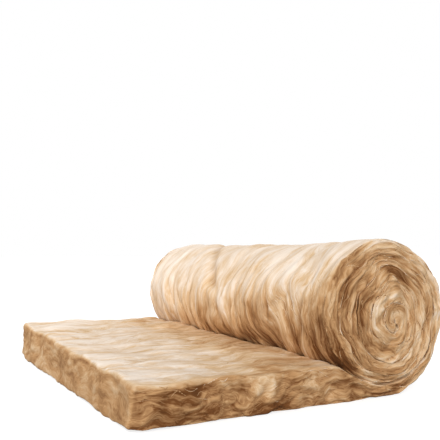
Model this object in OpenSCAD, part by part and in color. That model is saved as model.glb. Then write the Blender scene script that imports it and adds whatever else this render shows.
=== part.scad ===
// Part-unrolled blanket of glass wool loft insulation, one piece of stock.
// The roll's axis runs along X, the free end lies towards -Y, and the floor is z = 0.
// Sizes are in millimetres.

/* [Blanket] */
// Width of the blanket, which is also the length of the roll
blanket_width = 1140; // [570:10:1200]
// Thickness of the blanket where it lies free and has swelled back
free_thickness = 100; // [80:5:150]
// Radius that the soft edges of the blanket are rounded to
edge_radius = 15; // [6:1:15]

/* [Wound roll] */
// Height of the roll before its underside is pressed flat
roll_height = 420; // [340:10:600]
// Thickness of one turn above the eye of the roll
turn_above = 46; // [40:1:70]
// Thickness of one turn below the eye, squashed by the turns over it
turn_below = 34; // [34:1:60]
// Depth by which the weight of the roll flattens its underside
sag = 6; // [2:1:12]
// Radius that the rims of the roll are rounded to
rim_radius = 22; // [8:1:22]

/* [Waist and folds] */
// How much lower the top of the roll is between its ends
waist_depth = 12; // [4:1:20]
// Length of each end of the roll that keeps its full height
waist_start = 40; // [30:5:60]
// Length over which the roll runs down from its full height to its waist
waist_run = 140; // [60:10:160]
// Distance of the fold over the top of the roll from the roll's middle, towards -X
fold_place = 188; // [120:1:200]
// Depth of that fold below the roll's full height
fold_depth = 26; // [20:1:34]
// Radius of the hollow of that fold
fold_radius = 36; // [20:1:50]
// Angle from the top of the roll down its front to where that fold is deepest
fold_lean = 25; // [0:1:45]
// Angle by which that fold runs askew to the turns
fold_turn = 25; // [0:1:30]
// How much wider than the roll that fold's ring is, which makes its ends fade out
fold_fade = 40; // [20:1:60]
// Distance of the pinch in the front of the roll from the roll's middle, towards +X
pinch_place = 232; // [150:1:240]
// Depth of that pinch
pinch_depth = 10; // [6:1:16]
// Radius of the hollow of that pinch
pinch_radius = 16; // [10:1:30]
// How much wider than the roll that pinch's ring is, which makes its ends fade out
pinch_fade = 16; // [8:1:30]

/* [Free end] */
// Distance from the roll's middle to the cut end
free_length = 690; // [450:10:1500]
// Radius of the two upright corners of the cut end
corner_radius = 28; // [16:1:60]
// Height of the bottom of the crease above the underside of the second turn
crease_rise = 16; // [8:1:30]
// How much wider than the roll the free end's side of the crease is curved
crease_flare = 20; // [10:1:40]
// Radius of the shoulder over the crease
shoulder_radius = 14; // [6:1:24]

/* [Turns on the ends] */
// Width of the gap between two turns at the bottom of the groove
turn_gap = 2; // [1:0.5:3]
// Depth of the gap below the rounded edges of the turns
gap_depth = 5; // [2:1:10]
// Radius of the dimple at the eye of the roll
eye_radius = 12; // [6:1:14]

/* [Hidden] */
$fn = 96;

// A turn is two half circles, one behind and one in front of the roll's middle plane.
// Turn j runs behind from its bottom up to its top, and in front from its top down to the next bottom.
function turn_top(j) = roll_height - sag - j * turn_above;
function turn_bottom(j) = j * turn_below - sag;
function back_radius(j) = (turn_top(j) - turn_bottom(j)) / 2;
function back_centre(j) = (turn_top(j) + turn_bottom(j)) / 2;
function front_radius(j) = (turn_top(j) - turn_bottom(j + 1)) / 2;
function front_centre(j) = (turn_top(j) + turn_bottom(j + 1)) / 2;

turns = floor(roll_height / (turn_above + turn_below));
half_width = blanket_width / 2;
waist_half = half_width - waist_start - waist_run;
slab_height = free_thickness + sag;
slab_middle = (free_thickness - sag) / 2;
groove_reach = edge_radius + turn_gap / 2;
groove_depth = edge_radius + gap_depth;
// The rounding of a rim ends short of the first groove
rim_round = min(rim_radius, (turn_above + turn_below) / 2 - turn_gap - edge_radius - 1);
// Middle of the gap, measured outwards from the turn that it goes round
gap_middle = turn_gap / 2;
// The crease starts from the gap under the roll, and opens towards the top of the free end
crease_bottom = turn_bottom(1) + crease_rise;
gap_radius = front_radius(0) + turn_gap;
crease_radius = gap_radius + crease_flare;
crease_y = -sqrt(pow(gap_radius, 2) - pow(front_centre(0) - crease_bottom, 2));
crease_centre = crease_bottom + sqrt(pow(crease_radius, 2) - pow(crease_y, 2));
// The shoulder touches the top of the free end and the side of the crease
shoulder_z = free_thickness - shoulder_radius;
shoulder_y = -sqrt(pow(crease_radius + shoulder_radius, 2) - pow(crease_centre - shoulder_z, 2));
// Moves the middle of the blanket's length onto the origin
middle_y = (free_length - back_radius(0)) / 2;
overlap = 1;
wool = "burlywood";

// Rectangle about the origin with its four corners rounded
module rounded_rectangle(size, radius) {
    square([size.x - 2 * radius, size.y], center = true);
    square([size.x, size.y - 2 * radius], center = true);
    for (x = [-1, 1], y = [-1, 1])
        translate([x * (size.x / 2 - radius), y * (size.y / 2 - radius)])
            circle(radius);
}

// Turns a section drawn as (radius, X) half way round an axis along X at the height given.
// The half lies behind the roll's middle plane (+Y), or in front of it (-Y).
module half_turn(height, behind) {
    translate([0, 0, height])
        rotate([0, 90, 0])
            rotate([0, 0, behind ? 0 : 180])
                rotate_extrude(angle = 180)
                    children();
}

// Keeps the side of a section that a turn about its axis can sweep
module right_of_axis(reach) {
    intersection() {
        children();
        translate([0, -blanket_width])
            square([reach, 2 * blanket_width]);
    }
}

// The turned body of the roll, whose outer turn steps in by one thickness at the bottom
module wound_body() {
    half_turn(back_centre(0), true)
        rim_section(back_radius(0));
    difference() {
        half_turn(front_centre(0), false)
            rim_section(front_radius(0));
        fold(pinch_place, 90, 0, pinch_depth, pinch_radius, pinch_fade);
    }
}

// Section of the wound roll, with both rims rounded off
module rim_section(radius) {
    right_of_axis(radius)
        rounded_rectangle([2 * radius, blanket_width], rim_round);
}

// What the waist takes off the roll: turned about a lowered axis, so it is deepest at the top
module waist() {
    half_turn(back_centre(0) - waist_depth, true)
        waist_section(back_radius(0));
    half_turn(front_centre(0) - waist_depth, false)
        waist_section(front_radius(0));
}

// Section outside the waist, which runs out to the roll's full height at both ends
module waist_section(radius) {
    slope = waist_run / waist_depth;
    rise = waist_depth + overlap;
    reach = waist_half + rise * slope;
    polygon([
        [radius, -waist_half],
        [radius + rise, -reach],
        [2 * radius, -reach],
        [2 * radius, reach],
        [radius + rise, reach],
        [radius, waist_half],
    ]);
}

// A hollow ring round the roll, moved away from where it is deepest so that its ends fade out.
// It lies at a place along X, and is deepest at an angle from the top down the front.
module fold(place, lean, turn, depth, radius, fade) {
    translate([place, 0, front_centre(0)])
        rotate([lean, 0, 0])
            translate([0, 0, -depth - fade])
                rotate([0, 0, turn])
                    rotate([0, 90, 0])
                        rotate_extrude()
                            translate([front_radius(0) + fade + radius, 0])
                                circle(radius);
}

// Section of the groove between the rounded edges of two turns, at the +X or the -X end
module groove_section(end, radius) {
    mirror([0, end > 0 ? 0 : 1])
        difference() {
            translate([radius - groove_reach, half_width - groove_depth])
                square([2 * groove_reach, groove_depth + overlap]);
            for (side = [-1, 1]) {
                translate([radius + side * groove_reach, half_width - edge_radius])
                    circle(edge_radius);
                translate([radius + side * groove_reach - edge_radius, half_width - groove_depth - overlap])
                    square([2 * edge_radius, gap_depth + overlap]);
            }
        }
}

// The spiral between the turns, as half circles that meet end to end and stop in a round end
module turn_grooves(end) {
    for (j = [1 : turns - 1]) {
        half_turn(back_centre(j), true)
            groove_section(end, back_radius(j) + gap_middle);
        half_turn(front_centre(j), false)
            groove_section(end, front_radius(j) + gap_middle);
    }
    half_turn(turn_bottom(turns) - gap_middle, true)
        right_of_axis(groove_reach)
            groove_section(end, 0);
}

// Dimple at the eye, where the blanket's first fold closes on itself
module eye(end) {
    translate([end * half_width, 0, front_centre(turns - 1)])
        sphere(eye_radius);
}

// The free end's part of the first groove, open towards the roll
module first_groove(end) {
    half_turn(front_centre(0), false) {
        groove_section(end, front_radius(0) + gap_middle);
        mirror([0, end > 0 ? 0 : 1])
            translate([0, half_width - groove_depth])
                square([front_radius(0) + gap_middle, groove_depth + overlap]);
    }
}

// What the round shoulder takes off the corner between the free end's top and the crease
module shoulder_corner() {
    corner_y = -sqrt(pow(crease_radius, 2) - pow(crease_centre - free_thickness, 2));
    touch = shoulder_radius / (crease_radius + shoulder_radius);
    difference() {
        polygon([
            [shoulder_y, shoulder_z],
            [shoulder_y, free_thickness + overlap],
            [corner_y, free_thickness + overlap],
            [corner_y, free_thickness],
            [shoulder_y * (1 - touch), shoulder_z + (crease_centre - shoulder_z) * touch],
        ]);
        translate([shoulder_y, shoulder_z])
            circle(shoulder_radius);
    }
}

// Outline of the free end seen from the side, drawn as (Y, Z)
module free_outline() {
    difference() {
        translate([0, slab_middle])
            rounded_rectangle([2 * free_length, slab_height], edge_radius);
        difference() {
            union() {
                translate([0, crease_centre])
                    circle(crease_radius);
                shoulder_corner();
            }
            // The layer that passes under the roll
            translate([-free_length, -sag])
                square([2 * free_length, crease_bottom + sag]);
        }
    }
}

// The blanket's free end, which runs out flat from under the roll
module free_end() {
    difference() {
        intersection() {
            // Seen from the side
            rotate([90, 0, 90])
                translate([0, 0, -half_width])
                    linear_extrude(blanket_width)
                        free_outline();
            // Seen from the cut end, as far back as the roll's middle plane
            rotate([90, 0, 0])
                linear_extrude(free_length)
                    translate([0, slab_middle])
                        rounded_rectangle([blanket_width, slab_height], edge_radius);
            // Seen from above
            translate([0, 0, -sag])
                linear_extrude(slab_height)
                    rounded_rectangle([blanket_width, 2 * free_length], corner_radius);
        }
        for (end = [-1, 1])
            first_groove(end);
    }
}

module glass_wool_blanket() {
    color(wool)
        translate([0, middle_y, 0])
            difference() {
                union() {
                    difference() {
                        wound_body();
                        waist();
                        fold(-fold_place, fold_lean, fold_turn, fold_depth, fold_radius, fold_fade);
                        for (end = [-1, 1]) {
                            turn_grooves(end);
                            eye(end);
                        }
                    }
                    free_end();
                }
                // The floor that the underside is pressed flat on
                translate([-blanket_width, -2 * free_length, -roll_height])
                    cube([2 * blanket_width, 4 * free_length, roll_height]);
            }
}

glass_wool_blanket();
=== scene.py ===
"""Glass wool blanket, part unrolled: a wound roll lying on its side, with its free end run out flat.

The whole blanket is one thick sheet carried along a winding path. A point of it has three unrolled
coordinates, in metres: along from the cut end, across from the middle, and through from the outer side.
Relief, locks of fibre and colour all follow those coordinates, so they run on from piece to piece.
"""

import math
from collections import namedtuple

import bmesh
import bpy
import numpy as np
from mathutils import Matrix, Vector


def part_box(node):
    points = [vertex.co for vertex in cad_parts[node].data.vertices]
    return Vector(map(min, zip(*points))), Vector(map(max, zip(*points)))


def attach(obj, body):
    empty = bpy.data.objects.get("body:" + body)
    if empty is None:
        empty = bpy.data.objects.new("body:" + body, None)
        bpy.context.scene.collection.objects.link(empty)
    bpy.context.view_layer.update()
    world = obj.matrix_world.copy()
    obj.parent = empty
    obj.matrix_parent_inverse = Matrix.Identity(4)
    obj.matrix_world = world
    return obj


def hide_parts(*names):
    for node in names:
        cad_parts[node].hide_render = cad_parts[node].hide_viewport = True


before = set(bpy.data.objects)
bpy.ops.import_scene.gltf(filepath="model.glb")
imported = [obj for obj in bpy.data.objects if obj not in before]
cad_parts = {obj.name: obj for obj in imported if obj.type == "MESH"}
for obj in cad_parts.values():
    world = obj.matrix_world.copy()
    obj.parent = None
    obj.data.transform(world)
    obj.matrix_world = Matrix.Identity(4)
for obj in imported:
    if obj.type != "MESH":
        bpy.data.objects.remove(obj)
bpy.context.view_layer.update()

bl_info = {
    "name": "Glass wool blanket",
    "version": (1, 0, 0),
    "blender": (4, 5, 0),
    "location": "View3D > Sidebar > Wool",
    "description": "Builds a part-unrolled blanket of glass wool with its locks of fibre and a plain stage",
    "category": "Add Mesh",
}

NODE = "glass_wool_blanket"
BODY = "root"
MATERIAL = "brushed_wool"
LOW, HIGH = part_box(NODE)

TAU = 2 * math.pi
# Smallest half circle of the path, where the first fold closes on itself
CORE_RADIUS = 0.004
# Points nearer than this are one point
WELD = 1e-6
# How far the underside stays off the floor
FLOOR_GAP = 0.0005


def length(name, description, default, least=0.0):
    """A size of the blanket in metres."""
    return bpy.props.FloatProperty(
        name=name, description=description, default=default, min=least, unit="LENGTH")


def colour(name, description, *screen):
    """A colour given in screen values from 0 to 255: ((c / 255 + 0.055) / 1.055)^2.4 makes them linear."""
    return bpy.props.FloatVectorProperty(
        name=name, description=description, subtype="COLOR", size=3, min=0, max=1,
        default=[((value / 255 + 0.055) / 1.055) ** 2.4 for value in screen])


class BlanketSizes(bpy.types.PropertyGroup):
    """Sizes of the blanket and of its winding"""

    roll_height: length("Roll height", "Height of the roll before its underside is pressed flat", 0.420, 0.2)
    turn_above: length("Turn above", "Thickness of one turn above the eye of the roll", 0.046, 0.02)
    turn_below: length("Turn below", "Thickness of one turn below the eye of the roll", 0.034, 0.02)
    turns: bpy.props.IntProperty(name="Turns", description="Number of turns in the roll", default=5, min=2)
    sag: length("Sag", "Depth by which the roll's weight flattens its underside", 0.006)
    near_thickness: length("Near thickness", "Thickness of the free end along its near side", 0.095, 0.04)
    far_thickness: length("Far thickness", "Thickness of the free end along its far side", 0.114, 0.04)
    edge_radius: length("Edge radius", "Radius of the soft edges of the blanket", 0.014, 0.004)
    turn_radius: length("Turn radius", "Radius of the edges of the wound turns", 0.007, 0.004)
    foot_radius: length("Foot radius", "Radius of the edges that lie on the floor", 0.006, 0.002)
    edge_swell: length("Edge swell", "How far the side edges swell past the full width", 0.003)
    eye_swell: length("Eye swell", "How far the turns at the eye stand out past the outer ones", 0.012)
    rim_recess: length("Rim recess", "How far the roll's rim leans in at its outer side", 0.014)
    cut_slant: length("Cut slant", "How far the foot of the cut end stands out past its top", 0.020)
    back_swell: length("Back swell", "How far the middle and the back of the roll lie further back", 0.014)
    waist: length("Waist", "How much lower the roll is between its ends", 0.012)
    cut_radius: length("Cut radius", "Radius of the edges round the cut end", 0.011, 0.004)
    corner_radius: length("Corner radius", "Radius of the upright corners of the cut end", 0.040, 0.02)
    turn_gap: length("Turn gap", "Gap between two turns", 0.0008)
    shoulder: length("Shoulder", "Softness of the shoulder where the free end meets the roll", 0.009, 0.001)


class WoolColours(bpy.types.PropertyGroup):
    """Colours of the wool"""

    milk: colour("Milk", "The palest strands", 242, 230, 216)
    cream: colour("Cream", "Pale strands", 235, 219, 202)
    straw: colour("Straw", "The lighter body of the wool", 216, 185, 147)
    tan: colour("Tan", "The darker body of the wool", 187, 144, 99)
    # Umber is also the colour of the painted shade in creases and hollows
    umber: colour("Umber", "Dark strands, creases and hollows", 114, 71, 36)
    bark: colour("Bark", "The darkest strands", 80, 48, 23)


class StageSettings(bpy.types.PropertyGroup):
    """Floor, light and camera"""

    sky: bpy.props.FloatProperty(
        name="Sky", description="Strength of the even light from all round", default=0.5, min=0.0)
    key: bpy.props.FloatProperty(
        name="Key", description="Power of the main lamp", default=28.0, min=0.0, unit="POWER")
    key_size: bpy.props.FloatProperty(
        name="Key size", description="Width of the main lamp", default=1.6, min=0.1, unit="LENGTH")
    fill: bpy.props.FloatProperty(
        name="Fill", description="Strength of the lamp on the near end", default=2.5, min=0.0)
    back: bpy.props.FloatProperty(
        name="Back", description="Strength of the lamp behind the roll", default=1.1, min=0.0)
    sun_softness: bpy.props.FloatProperty(
        name="Softness", description="Angle that each of the two side lamps covers",
        default=math.radians(40), min=0.0, subtype="ANGLE")
    floor_bounce: bpy.props.FloatProperty(
        name="Floor bounce", description="Share of light that the floor throws back on the blanket",
        default=0.30, min=0.0, max=1.0, subtype="FACTOR")
    lens: bpy.props.FloatProperty(
        name="Lens", description="Focal length of the camera, in millimetres on a 36 mm frame",
        default=51.88, min=10.0)


# Noise and easing

# Factors that mix the place of a grid corner and a seed into one random word of 32 bits
PLACE_FACTORS = (374761393, 668265263, 2147483647)
SEED_FACTOR = 1274126177
WORD = 0xFFFFFFFF
FIRST_FOLD = 13
SECOND_FOLD = 16
# Bits of the word where its three slopes start, and the largest number in one slope's bits
SLOPE_STARTS = (0, 10, 20)
SLOPE_LARGEST = 1023
NOISE_GAIN = 1.5


def wool_noise(points, seed):
    """Gradient noise of points, an array of (a, b, c), about -1 to 1.

    Each corner of a unit grid has a random slope, and the slopes of the eight corners round a point
    are blended by the quintic ease of its place in the cell, 6h^5 - 15h^4 + 10h^3.
    """
    cell = np.floor(points)
    inside = points - cell
    ease = inside ** 3 * (inside * (inside * 6 - 15) + 10)
    cell = cell.astype(np.int64)
    total = np.zeros(points.shape[:-1])
    for corner in np.ndindex(2, 2, 2):
        corner = np.array(corner)
        mixed = (np.sum((cell + corner) * PLACE_FACTORS, axis=-1) + seed * SEED_FACTOR) & WORD
        mixed = ((mixed ^ (mixed >> FIRST_FOLD)) * SEED_FACTOR) & WORD
        mixed ^= mixed >> SECOND_FOLD
        bits = np.stack([(mixed >> start) & SLOPE_LARGEST for start in SLOPE_STARTS], axis=-1)
        slope = 2 * bits / SLOPE_LARGEST - 1
        weight = np.prod(np.where(corner == 1, ease, 1 - ease), axis=-1)
        total += weight * np.sum(slope * (inside - corner), axis=-1)
    return total * NOISE_GAIN


def waves(unrolled, lengths, seed):
    """Noise over the unrolled coordinates, with one wavelength in metres for each of the three."""
    return wool_noise(unrolled / np.array(lengths), seed)


def edge_waves(along, end, wavelength, seed):
    """Noise along the side edges, each end by itself."""
    return wool_noise(np.stack(np.broadcast_arrays(along / wavelength, end, 0.0), axis=-1), seed)


def smooth_step(low, high, value):
    """Rises from 0 at low to 1 at high with level ends: 3h^2 - 2h^3 of the share h."""
    share = np.clip((value - low) / (high - low), 0, 1)
    return share * share * (3 - 2 * share)


def soft_least(a, b, softness):
    """The lesser of two values with the corner between them rounded: -k log(e^(-a/k) + e^(-b/k))."""
    return -softness * np.logaddexp(-a / softness, -b / softness)


def patch(amount, **fades):
    """An amount that the wool differs by in places.

    Each pair of values of a coordinate is where the amount is nothing and where it is full.
    """
    return amount, fades


def patched(patches, places):
    """Sum of the patches: each amount times the smooth step of every coordinate that it fades over."""
    total = 0.0
    for amount, fades in patches:
        for name, bounds in fades.items():
            for nothing, full in zip(bounds[::2], bounds[1::2]):
                amount = amount * smooth_step(nothing, full, places[name])
        total = total + amount
    return total


# Path of the blanket

class Winding:
    """The blanket's path: flat on the floor from the cut end, then half circles round the roll.

    Half turn k lies behind the roll's middle plane if k is even, from its bottom up to its top, and in
    front if k is odd, from its top down to the next bottom. The half turn two further on lies inside it.
    """

    def __init__(self, sizes):
        self.sizes = sizes
        half = np.arange(2 * sizes.turns + 2)
        top = sizes.roll_height - sizes.sag - sizes.turn_above * (half // 2)
        bottom = sizes.turn_below * ((half + 1) // 2) - sizes.sag
        self.radius = np.maximum((top - bottom) / 2, CORE_RADIUS)
        self.centre = (top + bottom) / 2
        self.middle_y = HIGH.y - self.radius[0]
        self.free_length = self.middle_y - LOW.y
        turned = np.concatenate([[0], np.cumsum(math.pi * self.radius[:2 * sizes.turns])])
        self.start = self.free_length + turned

    def half_turn(self, k, angle):
        """(y, z) at an angle round half turn k: y = c sin(angle) r, z = centre - c cos(angle) r, c = +-1."""
        side = np.where(k % 2 == 0, 1, -1)
        y = self.middle_y + side * self.radius[k] * np.sin(angle)
        z = self.centre[k] - side * self.radius[k] * np.cos(angle)
        return np.stack([y, z], axis=-1)

    def front_angle(self, along):
        """Angle from the top of the outer turn down its front, in radians."""
        return (along - self.start[1]) / self.radius[1]

    def sides(self, along, across):
        """(y, z) of the outer side and of the inner side of the sheet, at points along and across it.

        On the floor the inner side is the lesser of the free thickness and the front of the roll. In the
        roll it is the outer side of the half turn two further on.
        """
        sizes = self.sizes
        flat_y = self.middle_y + along - self.free_length
        out_of_roll = self.radius[1] ** 2 - (flat_y - self.middle_y) ** 2
        front = np.where(out_of_roll > 0, self.centre[1] - np.sqrt(np.maximum(out_of_roll, 0)), np.inf)
        share = (across - LOW.x) / (HIGH.x - LOW.x)
        thickness = sizes.far_thickness + share * (sizes.near_thickness - sizes.far_thickness)
        lying_top = soft_least(thickness, front, sizes.shoulder)
        lying_outer = np.stack([flat_y, np.zeros_like(flat_y)], axis=-1)
        lying_inner = np.stack([flat_y, lying_top], axis=-1)

        k = np.clip(np.searchsorted(self.start, along, side="right") - 1, 0, 2 * sizes.turns - 1)
        angle = np.clip((along - self.start[k]) / self.radius[k], 0, math.pi)
        wound_outer = self.half_turn(k, angle)
        wound_outer[..., 1] = np.maximum(wound_outer[..., 1], 0)
        wound_inner = self.half_turn(k + 2, angle)

        lying = (along < self.free_length)[..., None]
        return np.where(lying, lying_outer, wound_outer), np.where(lying, lying_inner, wound_inner)


# Section of the blanket

CORNER_POINTS = 6
EDGE_POINTS = 18
RIM_POINTS = EDGE_POINTS + 2 * CORNER_POINTS


def section(outer_points, inner_points):
    """Points round the rounded section of the sheet, as four arrays of shares.

    span is -1 to 1 across the flat part, rise 0 to 1 through it, and (turn_x, turn_t) the unit vector that
    the rounded corner adds, which is also the way the surface faces there. The section starts at the far
    side of the outer face and goes over the near edge, back along the inner face and down the far edge.
    """
    outer = np.linspace(-1, 1, outer_points)
    inner = np.linspace(1, -1, inner_points)
    corner = np.linspace(0, math.pi / 2, CORNER_POINTS + 2)[1:-1]
    edge = np.linspace(0, 1, EDGE_POINTS)
    still, ones = np.zeros(CORNER_POINTS), np.ones(CORNER_POINTS)
    parts = [
        (outer, 0 * outer, 0 * outer, 0 * outer - 1),
        (ones, still, np.sin(corner), -np.cos(corner)),
        (1 + 0 * edge, edge, 1 + 0 * edge, 0 * edge),
        (ones, ones, np.cos(corner), np.sin(corner)),
        (inner, 1 + 0 * inner, 0 * inner, 1 + 0 * inner),
        (-ones, ones, -np.sin(corner), np.cos(corner)),
        (-1 + 0 * edge, 1 - edge, -1 + 0 * edge, 0 * edge),
        (-ones, still, -np.cos(corner), -np.sin(corner)),
    ]
    return [np.concatenate(values) for values in zip(*parts)]


# Relief of the wool

# Folds that run round the outer turn: place across at the top of the roll, drift across per radian,
# first and last angle from the top down the front, depth and width in metres
FOLDS = (
    (-0.300, 0.190, -0.8, 1.60, 0.013, 0.030),
    (-0.120, 0.030, 0.7, 1.90, 0.004, 0.012),
    (0.225, -0.012, 1.05, 2.10, 0.008, 0.010),
    (0.240, 0.028, 1.00, 2.00, 0.006, 0.008),
    (0.060, 0.020, 1.30, 2.10, 0.005, 0.010),
    (0.400, -0.020, 0.30, 1.70, 0.004, 0.012),
    (0.500, -0.030, 0.60, 2.10, 0.005, 0.010),
    (-0.420, 0.045, 0.90, 2.00, 0.006, 0.012),
)
# Angles over which a fold fades in and out, and the wavelengths and reach of the sway of its line
FOLD_IN = 0.5
FOLD_OUT = 0.4
FOLD_SWAY = (0.11, 0.2, 0.2)
FOLD_REACH = 0.012


def fold_depth(winding, unrolled):
    """Sum of the folds: each is a bell across its line that fades in and out along it."""
    angle = winding.front_angle(unrolled[..., 0])
    sway = FOLD_REACH * waves(unrolled, FOLD_SWAY, 71)
    depth = np.zeros(angle.shape)
    for place, drift, first, last, deep, width in FOLDS:
        off = (unrolled[..., 1] - place - drift * angle - sway) / width
        along = smooth_step(first, first + FOLD_IN, angle) * smooth_step(last, last - FOLD_OUT, angle)
        depth += deep * np.exp(-off * off) * along
    return depth


# Swirls that carry the strands: wavelengths and reaches in metres, along, across and through the blanket
BROAD_SWIRL = (0.30, 0.22, 0.22)
BROAD_REACH = (0.055, 0.066, 0.014)
CLOSE_SWIRL = (0.11, 0.085, 0.085)
CLOSE_REACH = (0.016, 0.021, 0.007)
# Width of the strip along each side edge in which the swirls die away
EDGE_CALM = 0.13


def flow_of(unrolled):
    """Unrolled coordinates carried along by a broad and a close swirl, so that strands sweep round lumps.

    Towards a side edge the strands run straight along it.
    """
    broad = np.stack([waves(unrolled, BROAD_SWIRL, seed) for seed in (11, 12, 13)], axis=-1)
    close = np.stack([waves(unrolled, CLOSE_SWIRL, seed) for seed in (14, 15, 16)], axis=-1)
    shift = broad * np.array(BROAD_REACH) + close * np.array(CLOSE_REACH)
    shift[..., 1] *= smooth_step(HIGH.x, HIGH.x - EDGE_CALM, np.abs(unrolled[..., 1]))
    return unrolled + shift


# Pillows of wool: what the size of the noise is multiplied by, and the size that lies level
PILLOW_GAIN = 2.5
PILLOW_LEVEL = 0.25


def pillows(noise):
    """Round crests with sharp valleys between them, about -0.6 to 1.5, from the size of the noise."""
    return PILLOW_GAIN * (np.abs(noise) - PILLOW_LEVEL)


# Angles down the front at which the outer face is hidden and shown, and distances before the roll's middle
# at which the top of the free end is hidden and shown
SKIN_SHOWN = (2.7, 2.4)
TOP_SHOWN = (0.08, 0.14)


def shown_share(winding, along, turn_t):
    """1 where a face is seen, 0 where it lies against the next turn, and between at the crease."""
    outer = smooth_step(*SKIN_SHOWN, winding.front_angle(along))
    inner = smooth_step(*TOP_SHOWN, winding.free_length - along)
    return np.where(turn_t < 0, outer, inner)


def blend(side, cut, on_faces, on_sides, on_cut):
    """Mixes what holds on the faces, on the side edges and on the cut end."""
    return on_faces * (1 - side) * (1 - cut) + on_sides * side + on_cut * cut


# Waves of the faces: wavelengths along, across and through, height, share in the crests, and seed
Wave = namedtuple("Wave", "lengths height crest seed")
LUMPS = Wave((0.24, 0.16, 0.16), 0.0050, 0.0, 21)
TUFTS = Wave((0.17, 0.075, 0.075), 0.0055, 0.5, 24)
CLUMPS = Wave((0.24, 0.042, 0.05), 0.0026, 0.3, 22)
STRANDS = Wave((0.17, 0.022, 0.022), 0.0010, 0.2, 23)
CUT_LUMPS = Wave((0.1, 0.16, 0.07), 0.0040, 0.0, 43)
# What calm wool keeps of the tufts' height and of the crests, and the depth of a fold that is a full valley
CALM_TUFTS = 0.0020
CALM_CRESTS = 0.15
VALLEY_DEPTH = 0.025


def face_relief(winding, unrolled, flow, ragged, shown):
    """Height and crests of the faces: lumps, tufts, clumps and strands along the flow, less the folds."""
    tufts, clumps, strands = (
        pillows(waves(flow, wave.lengths, wave.seed)) for wave in (TUFTS, CLUMPS, STRANDS))
    rough = TUFTS.height * tufts + CLUMPS.height * clumps + STRANDS.height * strands
    # Crests carry painted light on the tops of the relief and painted shade in its valleys and folds
    crest = TUFTS.crest * tufts + CLUMPS.crest * clumps + STRANDS.crest * strands
    folds = fold_depth(winding, unrolled)
    broad = LUMPS.height * waves(unrolled, LUMPS.lengths, LUMPS.seed)
    out = (broad + CALM_TUFTS * tufts + ragged * rough - folds) * shown
    return out, (CALM_CRESTS + ragged) * crest - folds / VALLEY_DEPTH


# Layers on the edges: wavelength along the edge, number through the thickness, height, share in the crests,
# and seed. The height of a drift is the number of layers that it carries them by.
Layer = namedtuple("Layer", "length number height crest seed")
SIDE_SWELL = Layer(0.065, 1.4, 0.0035, 0.0, 33)
SIDE_DRIFT = Layer(0.085, 1.5, 0.9, 0.0, 34)
SIDE_LAYERS = Layer(0.13, 2.4, 0.0050, 0.6, 31)
SIDE_LINES = Layer(0.09, 5.5, 0.0026, 0.5, 32)
CUT_DRIFT = Layer(0.10, 1.5, 0.6, 0.0, 44)
CUT_LAYERS = Layer(0.15, 2.6, 0.0024, 0.3, 41)
CUT_LINES = Layer(0.10, 6.0, 0.0012, 0.2, 42)
# How much further the drift carries the lines than the layers
LINE_DRIFT = 2
# Where the blanket lies free, before the roll's middle, and what its sides have more there
LIES_FREE = (-0.05, 0.25)
FREE_SWELL = 0.0035
FREE_DRIFT = 0.4
# Share of their layers that the turns at the eye keep, and the half turn, from the eye, that has them all
EYE_LAYERS = 0.3
FULL_LAYERS = -5


def layer_noise(layer, run, end, share, drift=0.0):
    """Noise along an edge and through it, moved through it by a drift."""
    place = np.broadcast_arrays(run / layer.length, end, layer.number * share + drift)
    return wool_noise(np.stack(place, axis=-1), layer.seed)


def layer_relief(layers, lines, run, end, share, drift):
    """Height and crests of layers and of the finer lines on them, as pillows that run along an edge."""
    layer = pillows(layer_noise(layers, run, end, share, drift))
    line = pillows(layer_noise(lines, run, end, share, LINE_DRIFT * drift))
    return layers.height * layer + lines.height * line, layers.crest * layer + lines.crest * line


def side_relief(winding, unrolled, share):
    """Height and crests of the side edges: layers along the blanket, which sway more where it lies free."""
    along = unrolled[..., 0]
    end = np.sign(unrolled[..., 1])
    free = smooth_step(*LIES_FREE, winding.free_length - along)
    drift = (SIDE_DRIFT.height + FREE_DRIFT * free) * layer_noise(SIDE_DRIFT, along, end, share)
    swell = (SIDE_SWELL.height + FREE_SWELL * free) * layer_noise(SIDE_SWELL, along, end, share)
    out, crest = layer_relief(SIDE_LAYERS, SIDE_LINES, along, end, share, drift)
    kept = EYE_LAYERS + (1 - EYE_LAYERS) * smooth_step(winding.start[-1], winding.start[FULL_LAYERS], along)
    return swell + kept * out, kept * crest


def cut_relief(unrolled, share):
    """Height and crests of the cut end: lumps, and layers that run across the blanket."""
    across = unrolled[..., 1]
    drift = CUT_DRIFT.height * layer_noise(CUT_DRIFT, across, 0.0, share)
    out, crest = layer_relief(CUT_LAYERS, CUT_LINES, across, 0.0, share, drift)
    return out + CUT_LUMPS.height * waves(unrolled, CUT_LUMPS.lengths, CUT_LUMPS.seed), crest


# Roughness and tone of the wool, with painted light and shade in the tone

# How places are measured: what a metre across counts for on the askew way, how far along the patch of
# painted shade on the near side lies, and where the crease lies, in radii behind the eye and in metres over
# the floor
ASKEW = 0.15
SIDE_SHADE_AT = 0.36
CREASE_BEHIND = -0.62
CREASE_HEIGHT = 0.085


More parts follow.
